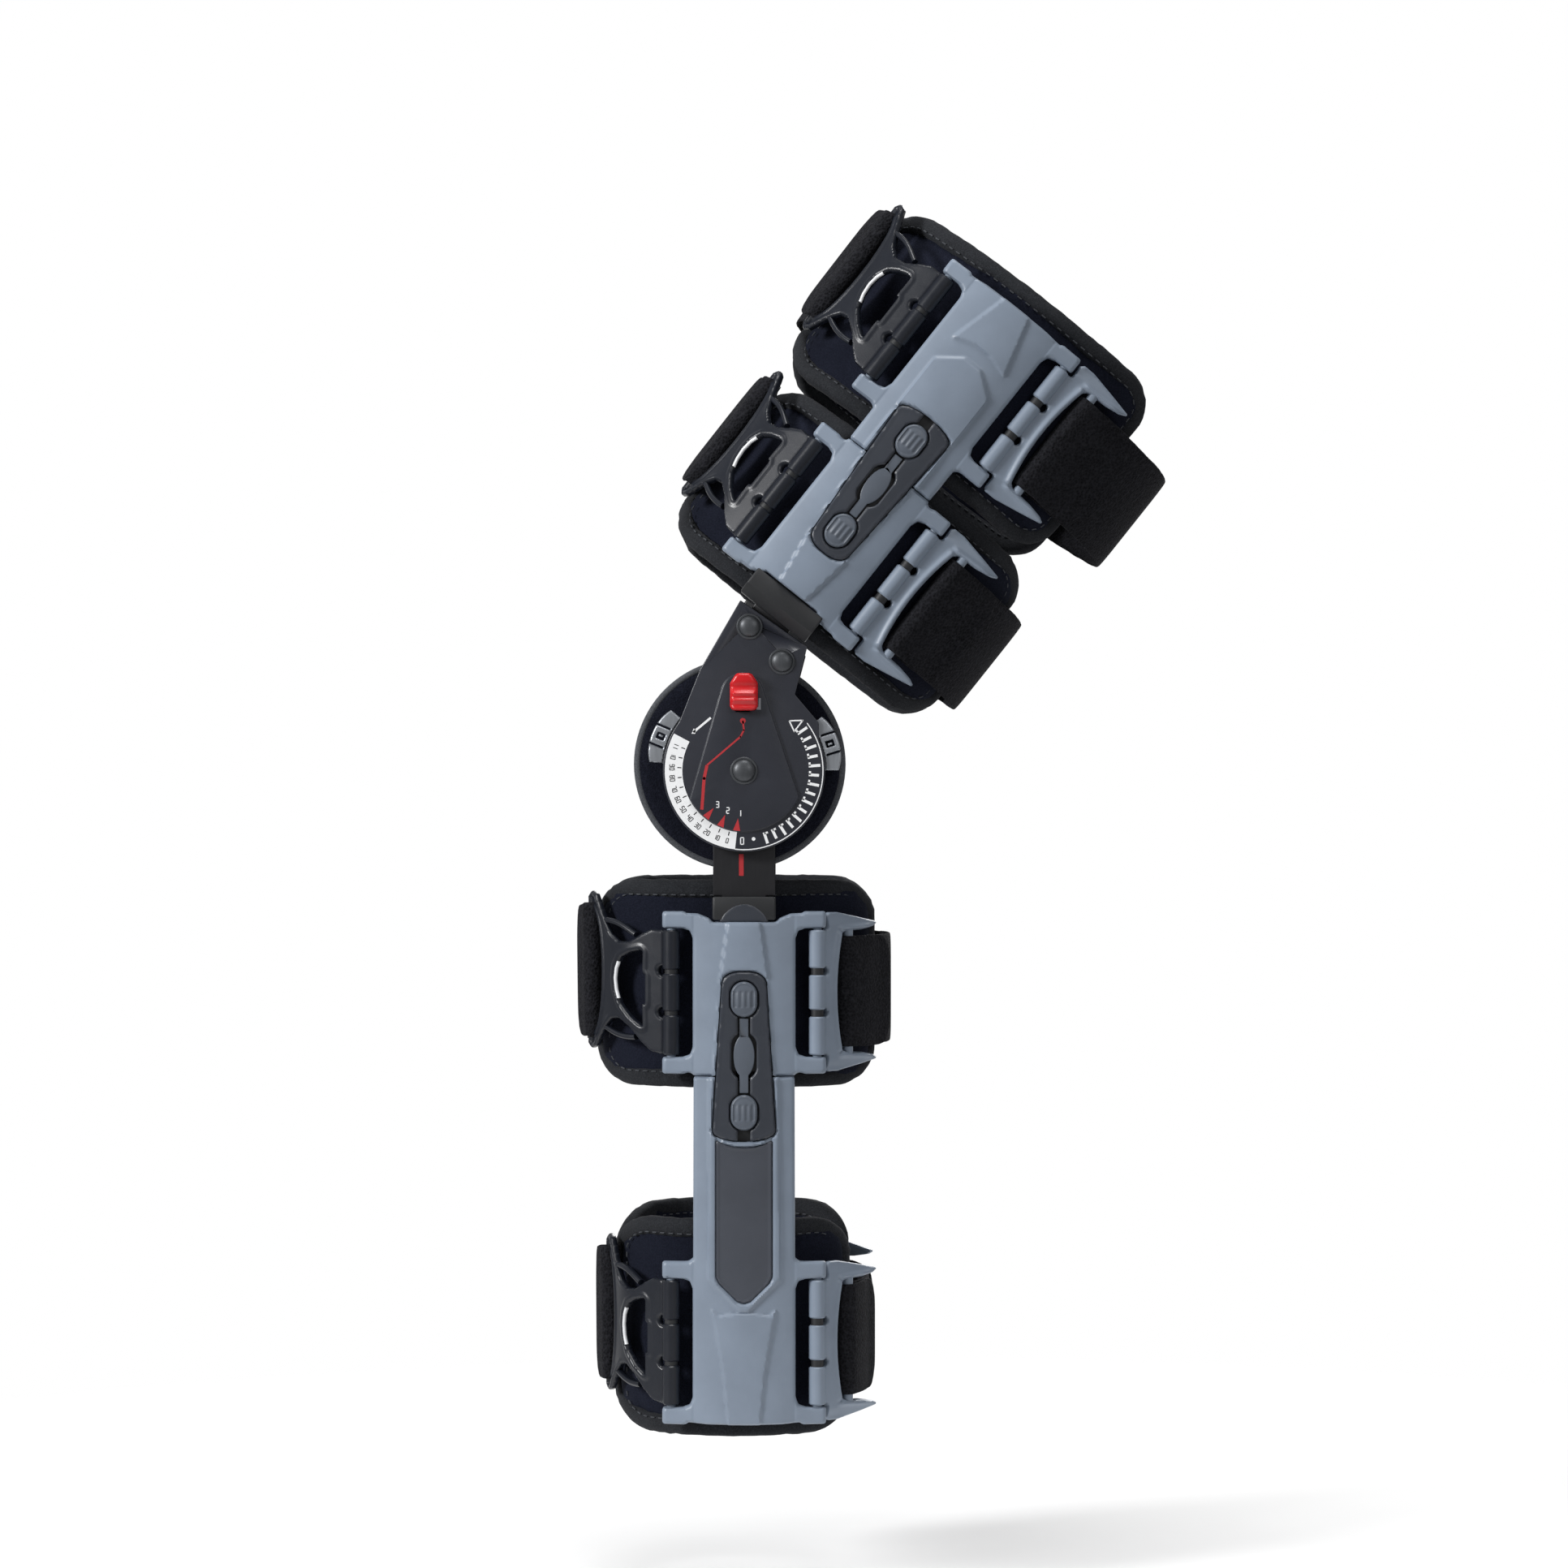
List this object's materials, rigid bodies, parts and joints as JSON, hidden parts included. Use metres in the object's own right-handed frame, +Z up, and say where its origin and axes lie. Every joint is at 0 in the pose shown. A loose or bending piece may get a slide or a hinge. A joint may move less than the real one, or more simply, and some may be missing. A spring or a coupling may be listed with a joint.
{
  "type": "hinged knee brace",
  "caption": "Post-operative hinged knee brace with telescoping side uprights, a dial hinge each side, padded cuffs, strap loops and buckles.",
  "frame": {"origin": "on the knee's hinge axis, midway between the two hinges", "axes": "+Z up along the shank's uprights, +X to the back of the leg, -Y to the lateral side, +Y along the hinge axis"},
  "size_m": [0.27, 0.1698, 0.5601],
  "materials": {
    "shell_plastic": "satin moulded",
    "panel_plastic": "fine grain",
    "key_plastic": "fine grain",
    "arm_metal": "satin black coating",
    "cover_plastic": "satin moulded",
    "rivet_metal": "dark turned",
    "stop_metal": "polished",
    "lock_plastic": "gloss red",
    "buckle_plastic": "semi-gloss",
    "pad_fabric": "brushed loop cloth with bound edges",
    "strap_fabric": "woven hook-and-loop strap"
  },
  "bodies": {
    "shank_frame": {"lateral_shank_hinge_arm": "arm_metal", "medial_shank_hinge_arm": "arm_metal", "lateral_condyle_pad": "pad_fabric", "medial_condyle_pad": "pad_fabric", "lateral_shank_near_shell": "shell_plastic", "medial_shank_near_shell": "shell_plastic", "shank_sleeves": "cover_plastic", "shank_button_panels": "panel_plastic", "shank_latch_strips": "key_plastic", "upper_calf_pads": "pad_fabric", "upper_calf_straps": "strap_fabric"},
    "shank_slide": {"lateral_shank_far_shell": "shell_plastic", "medial_shank_far_shell": "shell_plastic", "badges": "panel_plastic", "lower_calf_pads": "pad_fabric", "lower_calf_straps": "strap_fabric"},
    "thigh_frame": {"lateral_thigh_hinge_bar": "arm_metal", "medial_thigh_hinge_bar": "arm_metal", "lateral_dial_cover": "cover_plastic", "medial_dial_cover": "cover_plastic", "pivot_rivets": "rivet_metal", "arm_rivets": "rivet_metal", "hinge_washers": "cover_plastic", "lateral_thigh_near_shell": "shell_plastic", "medial_thigh_near_shell": "shell_plastic", "thigh_sleeves": "cover_plastic", "thigh_button_panels": "panel_plastic", "thigh_latch_strips": "key_plastic", "lower_thigh_pads": "pad_fabric", "lower_thigh_straps": "strap_fabric"},
    "thigh_slide": {"lateral_thigh_far_shell": "shell_plastic", "medial_thigh_far_shell": "shell_plastic", "upper_thigh_pads": "pad_fabric", "upper_thigh_straps": "strap_fabric"},
    "lateral_drop_lock": {"lateral_drop_lock": "lock_plastic"},
    "lateral_extension_stop": {"lateral_extension_stop": "stop_metal"},
    "lateral_flexion_stop": {"lateral_flexion_stop": "stop_metal"},
    "lateral_thigh_near_button": {"lateral_thigh_near_button": "key_plastic"},
    "lateral_thigh_far_button": {"lateral_thigh_far_button": "key_plastic"},
    "lateral_shank_near_button": {"lateral_shank_near_button": "key_plastic"},
    "lateral_shank_far_button": {"lateral_shank_far_button": "key_plastic"},
    "medial_drop_lock": {"medial_drop_lock": "lock_plastic"},
    "medial_extension_stop": {"medial_extension_stop": "stop_metal"},
    "medial_flexion_stop": {"medial_flexion_stop": "stop_metal"},
    "medial_thigh_near_button": {"medial_thigh_near_button": "key_plastic"},
    "medial_thigh_far_button": {"medial_thigh_far_button": "key_plastic"},
    "medial_shank_near_button": {"medial_shank_near_button": "key_plastic"},
    "medial_shank_far_button": {"medial_shank_far_button": "key_plastic"},
    "upper_thigh_buckle": {"upper_thigh_buckle": "buckle_plastic"},
    "upper_thigh_lateral_loop": {"upper_thigh_lateral_loop": "shell_plastic"},
    "upper_thigh_medial_loop": {"upper_thigh_medial_loop": "shell_plastic"},
    "lower_thigh_buckle": {"lower_thigh_buckle": "buckle_plastic"},
    "lower_thigh_lateral_loop": {"lower_thigh_lateral_loop": "shell_plastic"},
    "lower_thigh_medial_loop": {"lower_thigh_medial_loop": "shell_plastic"},
    "upper_calf_buckle": {"upper_calf_buckle": "buckle_plastic"},
    "upper_calf_lateral_loop": {"upper_calf_lateral_loop": "shell_plastic"},
    "upper_calf_medial_loop": {"upper_calf_medial_loop": "shell_plastic"},
    "lower_calf_buckle": {"lower_calf_buckle": "buckle_plastic"},
    "lower_calf_lateral_loop": {"lower_calf_lateral_loop": "shell_plastic"},
    "lower_calf_medial_loop": {"lower_calf_medial_loop": "shell_plastic"}
  },
  "joints": [
    {"name": "knee_flexion", "type": "hinge", "parent": "shank_frame", "child": "thigh_frame", "pos_m": [0, 0, 0], "axis": [0, 1, 0], "range_deg": [-48.5, 61.5]},
    {"name": "thigh_telescope", "type": "slide", "parent": "thigh_frame", "child": "thigh_slide", "axis": [0.6225, 0, 0.7826], "range_m": [0, 0.06]},
    {"name": "calf_telescope", "type": "slide", "parent": "shank_frame", "child": "shank_slide", "axis": [0, 0, -1], "range_m": [0, 0.06]},
    {"name": "lateral_lock_slide", "type": "slide", "parent": "thigh_frame", "child": "lateral_drop_lock", "axis": [0.0192, 0, -0.9998], "range_m": [0, 0.005]},
    {"name": "lateral_extension_stop_travel", "type": "hinge", "parent": "thigh_frame", "child": "lateral_extension_stop", "pos_m": [0, 0, 0], "axis": [0, -1, 0], "range_deg": [0, 80]},
    {"name": "lateral_flexion_stop_travel", "type": "hinge", "parent": "thigh_frame", "child": "lateral_flexion_stop", "pos_m": [0, 0, 0], "axis": [0, 1, 0], "range_deg": [0, 80]},
    {"name": "lateral_thigh_near_button_press", "type": "slide", "parent": "thigh_frame", "child": "lateral_thigh_near_button", "axis": [0, 1, 0], "range_m": [0, 0.0016], "stiffness_N_per_m": 900},
    {"name": "lateral_thigh_far_button_press", "type": "slide", "parent": "thigh_frame", "child": "lateral_thigh_far_button", "axis": [0, 1, 0], "range_m": [0, 0.0016], "stiffness_N_per_m": 900},
    {"name": "lateral_shank_near_button_press", "type": "slide", "parent": "shank_frame", "child": "lateral_shank_near_button", "axis": [0, 1, 0], "range_m": [0, 0.0016], "stiffness_N_per_m": 900},
    {"name": "lateral_shank_far_button_press", "type": "slide", "parent": "shank_frame", "child": "lateral_shank_far_button", "axis": [0, 1, 0], "range_m": [0, 0.0016], "stiffness_N_per_m": 900},
    {"name": "medial_lock_slide", "type": "slide", "parent": "thigh_frame", "child": "medial_drop_lock", "axis": [0.0192, 0, -0.9998], "range_m": [0, 0.005]},
    {"name": "medial_extension_stop_travel", "type": "hinge", "parent": "thigh_frame", "child": "medial_extension_stop", "pos_m": [0, 0, 0], "axis": [0, -1, 0], "range_deg": [0, 80]},
    {"name": "medial_flexion_stop_travel", "type": "hinge", "parent": "thigh_frame", "child": "medial_flexion_stop", "pos_m": [0, 0, 0], "axis": [0, 1, 0], "range_deg": [0, 80]},
    {"name": "medial_thigh_near_button_press", "type": "slide", "parent": "thigh_frame", "child": "medial_thigh_near_button", "axis": [0, -1, 0], "range_m": [0, 0.0016], "stiffness_N_per_m": 900},
    {"name": "medial_thigh_far_button_press", "type": "slide", "parent": "thigh_frame", "child": "medial_thigh_far_button", "axis": [0, -1, 0], "range_m": [0, 0.0016], "stiffness_N_per_m": 900},
    {"name": "medial_shank_near_button_press", "type": "slide", "parent": "shank_frame", "child": "medial_shank_near_button", "axis": [0, -1, 0], "range_m": [0, 0.0016], "stiffness_N_per_m": 900},
    {"name": "medial_shank_far_button_press", "type": "slide", "parent": "shank_frame", "child": "medial_shank_far_button", "axis": [0, -1, 0], "range_m": [0, 0.0016], "stiffness_N_per_m": 900},
    {"name": "upper_thigh_buckle_lift", "type": "hinge", "parent": "thigh_slide", "child": "upper_thigh_buckle", "pos_m": [0.074, -0.0727, 0.19906], "axis": [0.6225, 0, 0.7826], "range_deg": [0, 35], "deforming": ["upper_thigh_straps"]},
    {"name": "upper_thigh_lateral_loop_swing", "type": "hinge", "parent": "thigh_slide", "child": "upper_thigh_lateral_loop", "pos_m": [0.12565, -0.0727, 0.15797], "axis": [-0.6225, 0, -0.7826], "range_deg": [-4, 25], "deforming": ["upper_thigh_straps"]},
    {"name": "upper_thigh_medial_loop_swing", "type": "hinge", "parent": "thigh_slide", "child": "upper_thigh_medial_loop", "pos_m": [0.12565, 0.0727, 0.15797], "axis": [0.6225, 0, 0.7826], "range_deg": [-4, 25], "deforming": ["upper_thigh_straps"]},
    {"name": "lower_thigh_buckle_lift", "type": "hinge", "parent": "thigh_frame", "child": "lower_thigh_buckle", "pos_m": [0.01567, -0.0727, 0.12573], "axis": [0.6225, 0, 0.7826], "range_deg": [0, 35], "deforming": ["lower_thigh_straps"]},
    {"name": "lower_thigh_lateral_loop_swing", "type": "hinge", "parent": "thigh_frame", "child": "lower_thigh_lateral_loop", "pos_m": [0.06732, -0.0727, 0.08464], "axis": [-0.6225, 0, -0.7826], "range_deg": [-4, 25], "deforming": ["lower_thigh_straps"]},
    {"name": "lower_thigh_medial_loop_swing", "type": "hinge", "parent": "thigh_frame", "child": "lower_thigh_medial_loop", "pos_m": [0.06732, 0.0727, 0.08464], "axis": [0.6225, 0, 0.7826], "range_deg": [-4, 25], "deforming": ["lower_thigh_straps"]},
    {"name": "upper_calf_buckle_lift", "type": "hinge", "parent": "shank_frame", "child": "upper_calf_buckle", "pos_m": [-0.033, -0.0607, -0.10015], "axis": [0, 0, 1], "range_deg": [0, 35], "deforming": ["upper_calf_straps"]},
    {"name": "upper_calf_lateral_loop_swing", "type": "hinge", "parent": "shank_frame", "child": "upper_calf_lateral_loop", "pos_m": [0.033, -0.0607, -0.10015], "axis": [0, 0, -1], "range_deg": [-4, 25], "deforming": ["upper_calf_straps"]},
    {"name": "upper_calf_medial_loop_swing", "type": "hinge", "parent": "shank_frame", "child": "upper_calf_medial_loop", "pos_m": [0.033, 0.0607, -0.10015], "axis": [0, 0, 1], "range_deg": [-4, 25], "deforming": ["upper_calf_straps"]},
    {"name": "lower_calf_buckle_lift", "type": "hinge", "parent": "shank_slide", "child": "lower_calf_buckle", "pos_m": [-0.033, -0.0607, -0.25835], "axis": [0, 0, 1], "range_deg": [0, 35], "deforming": ["lower_calf_straps"]},
    {"name": "lower_calf_lateral_loop_swing", "type": "hinge", "parent": "shank_slide", "child": "lower_calf_lateral_loop", "pos_m": [0.033, -0.0607, -0.25835], "axis": [0, 0, -1], "range_deg": [-4, 25], "deforming": ["lower_calf_straps"]},
    {"name": "lower_calf_medial_loop_swing", "type": "hinge", "parent": "shank_slide", "child": "lower_calf_medial_loop", "pos_m": [0.033, 0.0607, -0.25835], "axis": [0, 0, 1], "range_deg": [-4, 25], "deforming": ["lower_calf_straps"]}
  ]
}
